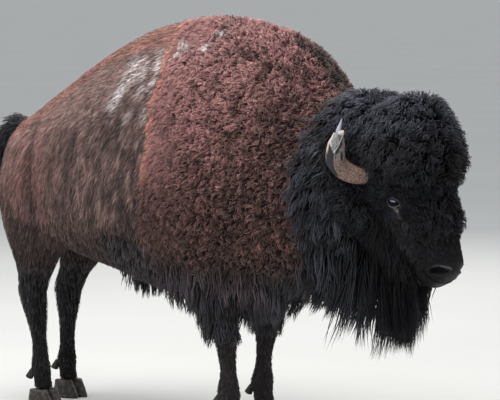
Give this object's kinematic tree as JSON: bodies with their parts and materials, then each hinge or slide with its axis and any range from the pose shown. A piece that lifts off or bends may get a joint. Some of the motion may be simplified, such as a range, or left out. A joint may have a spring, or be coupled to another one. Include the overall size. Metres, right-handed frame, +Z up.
{
  "type": "american bison",
  "caption": "Bull American bison, standing with its head carried low: humped woolly shoulders, a deep bonnet, beard and chaps, curved horns and a raised tufted tail",
  "frame": {"origin": "on the floor under the middle of the bounding box", "axes": "+X forwards along the body, +Y to the animal's left, +Z up"},
  "size_m": [2.938, 0.7762, 1.8093],
  "materials": {
    "coat_short": "short brown hair",
    "coat_cape": "woolly reddish-brown curls",
    "coat_black": "long black-brown hair",
    "horn": "worn grey-brown horn",
    "hoof": "dark worn hoof",
    "eye": "glossy dark eye"
  },
  "bodies": {
    "root": {"head": "coat_black", "jaw": "coat_black", "neck": "coat_black", "shoulders": "coat_cape", "barrel": "coat_short", "hindquarters": "coat_short", "tail": "coat_black", "tail_brush": "coat_black", "foreleg_right": "coat_black", "hoof_fore_right_inner": "hoof", "hoof_fore_right_outer": "hoof", "foreleg_left": "coat_black", "hoof_fore_left_inner": "hoof", "hoof_fore_left_outer": "hoof", "hindleg_right": "coat_black", "hoof_hind_right_inner": "hoof", "hoof_hind_right_outer": "hoof", "hindleg_left": "coat_black", "hoof_hind_left_inner": "hoof", "hoof_hind_left_outer": "hoof", "horn_right": "horn", "ear_right": "coat_black", "eye_right": "eye", "horn_left": "horn", "ear_left": "coat_black", "eye_left": "eye"}
  },
  "joints": []
}
